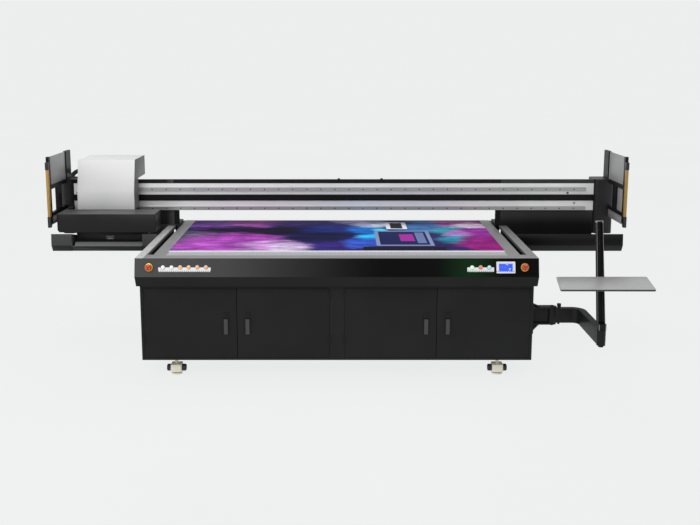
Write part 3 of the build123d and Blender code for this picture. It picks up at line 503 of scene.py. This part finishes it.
def make_materials():
    """The material of every slot, and of the pieces that differ from their slot, by name."""
    stop_yellow = (0.68, 0.45, 0.03)
    return {
        "frame_steel": black("frame_steel", 34, 0.5),
        "black_sheet": black("black_sheet", 27),
        "door_black": black("door_black", 25, 0.4, grain=620),
        "console_black": console_black(),
        "housing_dark": housing_dark(),
        "arm_black": black("arm_black", 24, 0.36, grain=800),
        # painted shade: the shelf's front-facing faces darker than its top
        "shelf_grey": painted("shelf_grey", grey(136), 0.3, 950, 0.00001, 0.03, zones=[
            (on_side("-Y"), grey(48))]),
        # painted light and shade on the cover: its right-facing sides painted dark as shade, its top and the
        # band from 150 to 319 mm a little darker
        "cover_silver": painted(
            "cover_silver", grey(206), 0.42, 1400, 0.00005, 0.03, Specular_IOR_Level=0.25, zones=[
                (zone(z=(150, 319)), grey(202)), (on_side("Z"), grey(184)), (on_side("X"), grey(96))]),
        "caster_ivory": painted("caster_ivory", (0.68, 0.66, 0.55), 0.42, 500, vary=0.06),
        "curtain_yellow": painted("curtain_yellow", (0.33, 0.19, 0.035), 0.38, 800, vary=0.08, zones=[
            (zone(z=(539, 620)), grey(22)), (zone(z=(60, 159.3)), grey(22))]),
        # painted highlight: the bed's left outer strip paler than the rest
        "bed_aluminium": metal("bed_aluminium", grey(130), 0.42, (1, 50, 50), metallic=0.6, vary=0.07, zones=[
            (zone(x=(-1460, -1400)), grey(190))]),
        "table_aluminium": table_metal(),
        "beam_aluminium": metal("beam_aluminium", grey(234), 0.36, (0.6, 80, 80), metallic=0.55, vary=0.06),
        "rail_steel": metal("rail_steel", grey(168), 0.3, (0.6, 90, 90), metallic=0.7, zones=[
            (zone(y=(1280, 1300), z=(200, 290)), grey(16))]),
        "blower_metal": painted("blower_metal", (0.25, 0.27, 0.29), 0.5, 260, 0.0004, metallic=0.6),
        "head_metal": metal("head_metal", (0.5, 0.5, 0.52), 0.3, (40, 40, 1)),
        # painted highlights: the front faces of the post channel's two edges paler; the band from 306 to 330 mm
        # up is paler too
        "post_black": metal(
            "post_black", grey(22), 0.38, (60, 60, 1), metallic=0.3, Specular_IOR_Level=0.2, zones=[
            (on_side("-Y", x=(1786, 1793.5)), grey(115)), (on_side("-Y", x=(1832.5, 1840)), grey(115)),
            (zone(z=(306, 330)), grey(165))]),
        "bezel_metal": metal("bezel_metal", grey(205), 0.22, (30, 30, 30), metallic=0.6, zones=[
            (zone(x=(side * STOP_X - 45, side * STOP_X + 45)), stop_yellow) for side in SIDES]),
        "bolt_steel": metal("bolt_steel", grey(40), 0.4, (30, 30, 30), metallic=0.5),
        "legend_plate": legend_film(),
        "board_print": board_print(),
        "stop_red": moulded("stop_red", (0.42, 0.025, 0.02), 0.3, Specular_IOR_Level=0.3),
        "lamp_white": lamp_lens("lamp_white", (0.8, 0.8, 0.78), 0.1),
        "lamp_amber": lamp_lens("lamp_amber", (0.80, 0.36, 0.10), 0.12),
        "lamp_green": lamp_lens("lamp_green", (0.35, 0.95, 0.45), 0.9),
        "lamp_orange": lamp_lens("lamp_orange", (0.80, 0.16, 0.06), 0.1),
        "lamp_blue": lamp_lens("lamp_blue", (0.40, 0.68, 0.85), 0.1),
        "socket_blue": moulded("socket_blue", (0.025, 0.10, 0.46), 0.4),
        "chain_plastic": moulded("chain_plastic", grey(30), 0.5),
        "head_black": moulded("head_black", grey(32), 0.45),
        "wheel_black": moulded("wheel_black", grey(22), 0.55),
        "pad_rubber": moulded("pad_rubber", grey(40), 0.7),
        "panel_grey": moulded("panel_grey", grey(142), 0.4, 1800, 0.00002, Specular_IOR_Level=0.3),
        "mark_white": moulded("mark_white", (0.5, 0.42, 0.4), 0.5),
        "latch_grey": painted("latch_grey", grey(96), 0.4),
        # painted highlight: the handles' black made paler for the light on their edges, and glossier
        "handle_black": black("handle_black", 52, 0.3, gloss=0.45),
    }


LAMPS = ["white", "white", "amber", "amber", "amber", "amber", "green", "orange", "blue"]


def dress_nodes():
    """Gives each CAD node its slot's material, each lamp its own colour and the handles a glossier black,
    painted paler for the light on their edges.
    """
    for part in frame["record"]["subparts"]:
        node = nodes[part["node"]]
        node.data.materials.clear()
        if part["material_slot"] == "lamp_plastic":
            number = int(part["node"].rsplit("_", 1)[1])
            node.data.materials.append(materials["lamp_" + LAMPS[number - 1]])
        elif part["node"].startswith("handle_"):
            node.data.materials.append(materials["handle_black"])
        else:
            node.data.materials.append(materials[part["material_slot"]])


def soften(name, width):
    """Rounds the sharp edges of a CAD node by that many millimetres, with a bevel modifier."""
    node = nodes[name]
    weld = node.modifiers.new("weld", "WELD")
    weld.merge_threshold = 0.00002
    bevel = node.modifiers.new("rounded_edges", "BEVEL")
    bevel.width = width * MM
    bevel.segments = 3
    bevel.limit_method = "ANGLE"
    bevel.angle_limit = math.radians(40)
    bevel.harden_normals = True
    for polygon in node.data.polygons:
        polygon.use_smooth = True


# ---------------------------------------------------------------- studio
PALE = (0.845, 0.853, 0.853)


def make_floor():
    """A pale floor that lights itself, so that it meets the pale background without a line."""
    mesh = bpy.data.meshes.new("floor")
    reach = 60
    corners = [(-reach, -reach, 0), (reach, -reach, 0), (reach, reach, 0), (-reach, reach, 0)]
    mesh.from_pydata(corners, [], [(0, 1, 2, 3)])
    floor = bpy.data.objects.new("floor", mesh)
    bpy.context.scene.collection.objects.link(floor)
    share = 0.05  # of its brightness that comes from the lights, and takes their shadows
    material, tree, principled = start("floor_pale", tinted(PALE, share), 0.0, 0.9, Specular_IOR_Level=0.0)
    tone = ramp(tree, noise(tree, 0.4, 3), ((0.3, tinted(PALE, share * 0.9)), (0.7, tinted(PALE, share * 1.1))))
    join(tree, tone, principled, "Base Color")
    principled.inputs["Emission Color"].default_value = (*PALE, 1)
    principled.inputs["Emission Strength"].default_value = 1 - share
    mesh.materials.append(material)


def make_background():
    """The camera sees an even pale background; the one that lights the machine is brighter above."""
    world = bpy.data.worlds.new("studio")
    bpy.context.scene.world = world
    world.use_nodes = True
    tree = world.node_tree
    split = add(tree, "SeparateXYZ", ins={"Vector": add(tree, "TexCoord").outputs["Generated"]})
    height = add(tree, "Math", operation="MULTIPLY_ADD", ins={0: split.outputs["Z"], 1: 0.5, 2: 0.5})
    sky = ramp(tree, height.outputs[0], (
        (0.45, (0.45, 0.455, 0.46)), (0.62, (0.62, 0.63, 0.64)), (0.9, (1.15, 1.15, 1.15))))
    seen = add(tree, "LightPath").outputs["Is Camera Ray"]
    tree.links.new(mix(tree, seen, sky, PALE), tree.nodes["Background"].inputs["Color"])


def area_light(name, where, aim, size, power):
    """A rectangular lamp at a place in metres, turned towards another."""
    data = bpy.data.lights.new(name, "AREA")
    data.shape = "RECTANGLE"
    data.size, data.size_y = size
    data.energy = power
    light = bpy.data.objects.new(name, data)
    light.location = where
    light.rotation_euler = (Vector(aim) - Vector(where)).to_track_quat("-Z", "Y").to_euler()
    bpy.context.scene.collection.objects.link(light)


def make_lights():
    """Soft lamps above the left front, overhead and at the left."""
    machine = (0, 0, 0.9)
    area_light("key_softbox", (-3.5, -5.5, 5.0), (-0.3, 0, 0.9), (4, 3), 170)
    area_light("top_softbox", (0, 0.5, 5.5), machine, (7, 3), 130)
    area_light("left_strip", (-6.0, -2.0, 1.8), machine, (0.8, 3), 40)


# ---------------------------------------------------------------- mesh tools for the detail pieces
def add_piece(name, body, slot_name, shape, material=None):
    """Turns the drawn shape into an object that rides on a body, in its slot's material or another."""
    mesh = bpy.data.meshes.new(name)
    bmesh.ops.recalc_face_normals(shape, faces=shape.faces)
    shape.to_mesh(mesh)
    shape.free()
    piece = bpy.data.objects.new(name, mesh)
    bpy.context.scene.collection.objects.link(piece)
    mesh.materials.append(materials[material or slot_name])
    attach(piece, body)
    return piece


def turned(shape, centre, axis, profile, segments=24):
    """A turned solid about an axis from centre. The profile is (radius, height) pairs in millimetres;
    a radius given as ("hex", r) makes a six-sided ring."""
    turn = Vector(axis).to_track_quat("Z", "Y").to_matrix()
    side_angle = math.pi / 3
    rings = []
    for radius, height in profile:
        ring = []
        for step in range(segments):
            angle = 2 * math.pi * step / segments
            reach = radius
            if isinstance(radius, tuple):
                from_flat = (angle + side_angle / 2) % side_angle - side_angle / 2
                reach = radius[1] / math.cos(from_flat)
            local = Vector((reach * math.cos(angle), reach * math.sin(angle), height)) * MM
            ring.append(shape.verts.new(at(*centre) + turn @ local))
        rings.append(ring)
    skin(shape, rings)


def skin(shape, rings):
    """Faces between rings with as many points each, and one at both ends."""
    count = len(rings[0])
    for lower, upper in zip(rings, rings[1:]):
        for step in range(count):
            after = (step + 1) % count
            shape.faces.new((lower[step], lower[after], upper[after], upper[step]))
    shape.faces.new(rings[0][::-1])
    shape.faces.new(rings[-1])


def screw(shape, centre, axis, radius, height=1.5):
    """A button head with a hexagonal recess."""
    turned(shape, centre, axis, [
        (radius, -0.4), (radius, 0.35 * height), (0.8 * radius, height), (("hex", 0.42 * radius), height),
        (("hex", 0.40 * radius), 0.2 * height)])


def rounded_block(shape, x, y, z, round_by=1.0, turn=None):
    """A block between ranges in millimetres from the datum, with rounded edges, turned about its middle."""
    middle = [(low + high) / 2 for low, high in (x, y, z)]
    size = Matrix.Diagonal([(high - low) * MM for low, high in (x, y, z)] + [1])
    place = Matrix.Translation(at(*middle)) @ (turn or Matrix()) @ size
    made = bmesh.ops.create_cube(shape, size=1, matrix=place)
    edges = {edge for vert in made["verts"] for edge in vert.link_edges}
    bmesh.ops.bevel(shape, geom=list(edges), offset=round_by * MM, segments=2, profile=0.5, affect="EDGES")


def prism(shape, outline, start_at, end_at, fix):
    """An outline of two-coordinate points pulled from start_at to end_at. The function fix turns
    (a, b, along) into a point from the datum."""
    skin(shape, [[shape.verts.new(at(*fix(a, b, place))) for a, b in outline] for place in (start_at, end_at)])


# ---------------------------------------------------------------- detail pieces
LOUVRE = ((0, 0), (5, -10), (5, -12), (4, -12), (0, -4))  # out from the panel, and up


def side_louvres():
    """Pressed louvres in two banks on each side panel."""
    shape = bmesh.new()
    top_row = -360
    row_pitch = 22
    root = CABINET_HALF - 0.3
    for side in SIDES:
        for bank in ((620, 920), (1350, 1650)):
            for row in range(12):
                top = top_row - row_pitch * row
                prism(shape, LOUVRE, *bank, lambda out, up, y: (side * (root + out), y, top + up))
    add_piece("side_louvres", "base", "black_sheet", shape)


def panel_screws():
    """Button heads along the top and bottom of the side panels."""
    shape = bmesh.new()
    for side in SIDES:
        for y in range(110, 2000, 310):
            for z in (-250, -750):
                screw(shape, (side * CABINET_HALF, y, z), (side, 0, 0), 6)
    add_piece("panel_screws", "base", "bolt_steel", shape)


def rail_caps():
    """Flush caps over the guide rails' bolts."""
    shape = bmesh.new()
    cap = [(5.5, -1), (5.5, 0.1), (4.8, 0.2), (4.4, 0.05)]
    for x in range(-2060, 2061, 120):
        for z in RAIL_HEIGHTS:
            turned(shape, (x, RAIL_FRONT, z), (0, -1, 0), cap, 20)
    add_piece("rail_caps", "gantry", "rail_steel", shape, "bolt_steel")


def housing_screws():
    """Socket screws on the fronts of the end housings and the outriggers."""
    shape = bmesh.new()
    for x in (-2330, -2285, 2225, 2330):
        for z in (-35, 370):
            screw(shape, (x, HOUSING_FRONT, z), (0, -1, 0), 6)
    for x in (-2300, -2190, -1560, 1510, 1900, 2290):
        screw(shape, (x, OUTRIGGER_FRONT, -110), (0, -1, 0), 5)
    add_piece("housing_screws", "gantry", "bolt_steel", shape)


def drawer_latch():
    """The pull latch over the waste drawer: a grey lip and its catch."""
    shape = bmesh.new()
    rounded_block(shape, (-1898, -1827), (919, 922.2), (-21, -15), 0.8)
    rounded_block(shape, (-1884, -1841), (919.5, 922.2), (-43, -30), 0.8)
    add_piece("drawer_latch", "gantry", "housing_dark", shape, "latch_grey")


def bed_screws():
    """Low screw heads along the bed's side strips."""
    shape = bmesh.new()
    for side in SIDES:
        for y in range(90, 1530, 180):
            screw(shape, (side * 1425, y, 0), (0, 0, 1), 4.5, 0.6)
    add_piece("bed_screws", "base", "bolt_steel", shape)


def socket_rings():
    """The collar of each power socket, with ribs round it."""
    shape = bmesh.new()
    face_x, middle_y = SOCKET_FACE
    collar = [(27, -1), (27, 2.5), (25, 3.5), (21, 3.5), (20, 1.2)]
    rib = [(1.6, 0), (1.6, 2.6), (1.0, 3)]
    rib_circle = 28
    for z in SOCKET_HEIGHTS:
        turned(shape, (face_x, middle_y, z), (1, 0, 0), collar, 40)
        for step in range(12):
            angle = math.radians(30 * step)
            rib_y, rib_z = middle_y + rib_circle * math.cos(angle), z + rib_circle * math.sin(angle)
            turned(shape, (face_x - 1, rib_y, rib_z), (1, 0, 0), rib, 10)
    add_piece("socket_rings", "base", "socket_blue", shape)


def chain_links():
    """The drag chain: side plates and crossbars along the bend and the upper strand."""
    shape = bmesh.new()
    pitch = 31.0
    half_high = 17
    strand = CHAIN_STRAND_END - CHAIN_BEND[0]
    whole = strand + math.pi * CHAIN_RADIUS
    for link in range(int(whole / pitch)):
        walked = (link + 0.5) * pitch
        if walked < strand:
            x, z, lean = CHAIN_STRAND_END - walked, CHAIN_BEND[1] + CHAIN_RADIUS, 0
        else:
            angle = (walked - strand) / CHAIN_RADIUS
            x = CHAIN_BEND[0] - CHAIN_RADIUS * math.sin(angle)
            z = CHAIN_BEND[1] + CHAIN_RADIUS * math.cos(angle)
            lean = -angle
        turn = Matrix.Rotation(lean, 4, "Y")
        half_long = (pitch + (5 if link % 2 else 1)) / 2
        plate_x, plate_z = (x - half_long, x + half_long), (z - half_high, z + half_high)
        for y in ((1504.5, 1509), (1541, 1545.5)):
            rounded_block(shape, plate_x, y, plate_z, 1.5, turn)
        for offset in (-14, 14):
            move = turn @ Vector((0, 0, offset))
            bar_x, bar_z = x + move.x, z + move.z
            rounded_block(shape, (bar_x - 8, bar_x + 8), (1508, 1542), (bar_z - 2, bar_z + 2), 0.8, turn)
    piece = add_piece("chain_links", "carriage", "chain_plastic", shape)
    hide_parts("cable_chain")


def draw_arrow(shape, centre, start_angle):
    """A raised arc that ends in a point, on the face of an emergency stop."""
    radius = 14
    sweep = math.radians(70)
    steps = 8
    head_from = 0.7  # of the sweep
    across = Vector((1, 0, 0))
    down = CONSOLE_NORMAL.cross(across) * -1
    pairs = []
    for step in range(steps + 1):
        share = step / steps
        angle = start_angle + sweep * share
        half = 0.8 if share < head_from else 2.2 * (1 - share) / (1 - head_from) + 0.05
        outward = across * math.cos(angle) + down * math.sin(angle)
        pairs.append([centre + outward * (radius + edge * half) * MM for edge in SIDES])
    low_row, high_row = (
        [[shape.verts.new(point + CONSOLE_NORMAL * lift * MM) for point in pair] for pair in pairs]
        for lift in (-0.4, 0.3))
    for low, high, low_next, high_next in zip(low_row, high_row, low_row[1:], high_row[1:]):
        shape.faces.new((high[0], high[1], high_next[1], high_next[0]))
        shape.faces.new((low[0], high[0], high_next[0], low_next[0]))
        shape.faces.new((low[1], low_next[1], high_next[1], high[1]))


def stop_arrows():
    """Three raised arrows round each emergency stop, the way it turns to let go."""
    stop_height = 28.1
    for side, name in zip(SIDES, ("left", "right")):
        shape = bmesh.new()
        centre = at(side * STOP_X, *CONTROL_ROW) + CONSOLE_NORMAL * stop_height * MM
        for arrow in range(3):
            draw_arrow(shape, centre, math.radians(120 * arrow))
        add_piece("stop_arrows_" + name, "emergency_stop_" + name, "legend_plate", shape, "mark_white")


def nozzle_plates():
    """Four bright plates with two rows of nozzles each, under the print heads."""
    (low_x, low_y, low_z), (high_x, high_y, _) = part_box("print_heads")
    origin = at(0, 0, 0)
    left, right = ((value - origin.x) / MM for value in (low_x, high_x))
    near, far = ((value - origin.y) / MM for value in (low_y, high_y))
    under = (low_z - origin.z) / MM
    shape = bmesh.new()
    plates = 4
    pitch = (right - left) / plates
    plate_half = 0.3 * pitch
    proud = 0.3
    rows = 24
    end_gap = 20
    nozzle = [(1.4, -0.2), (1.4, 0.1), (0.7, 0.02)]
    for plate in range(plates):
        x = left + pitch * (plate + 0.5)
        plate_z = (under - proud, under + 1)
        rounded_block(shape, (x - plate_half, x + plate_half), (near + 12, far - 12), plate_z, 0.25)
        for row in range(rows):
            y = near + end_gap + (far - near - 2 * end_gap) * row / (rows - 1)
            for offset in (-5, 5):
                turned(shape, (x + offset, y, under - proud), (0, 0, -1), nozzle, 8)
    add_piece("nozzle_plates", "head_unit", "head_metal", shape)


# How far the sharp edges of these CAD nodes are rounded, in millimetres.
SOFTENED = {
    "maintenance_station": 3, "outrigger_boxes": 1.5, "carriage_cover": 4,
    "door_1": 1.2, "door_2": 1.2, "door_3": 1.2, "door_4": 1.2, "light_curtains": 2, "shelf": 1,
    "control_bezels": 0.7, "waste_drawer": 1, "caster_housings": 2,
    "emergency_stop_left": 2, "emergency_stop_right": 2, "handle_1": 2, "handle_2": 2, "handle_3": 2,
    "handle_4": 2, "power_sockets": 2, "wing_panels": 0.8, "print_board": 0.6,
}


def make_details():
    """All the detail pieces, and rounded edges on some of the CAD nodes."""
    side_louvres()
    panel_screws()
    rail_caps()
    housing_screws()
    drawer_latch()
    bed_screws()
    socket_rings()
    chain_links()
    stop_arrows()
    nozzle_plates()
    for name, width in SOFTENED.items():
        soften(name, width)


# ---------------------------------------------------------------- build
make_camera()
make_floor()
make_background()
make_lights()
bpy.context.scene.view_settings.view_transform = "Standard"
materials = make_materials()
dress_nodes()
make_details()
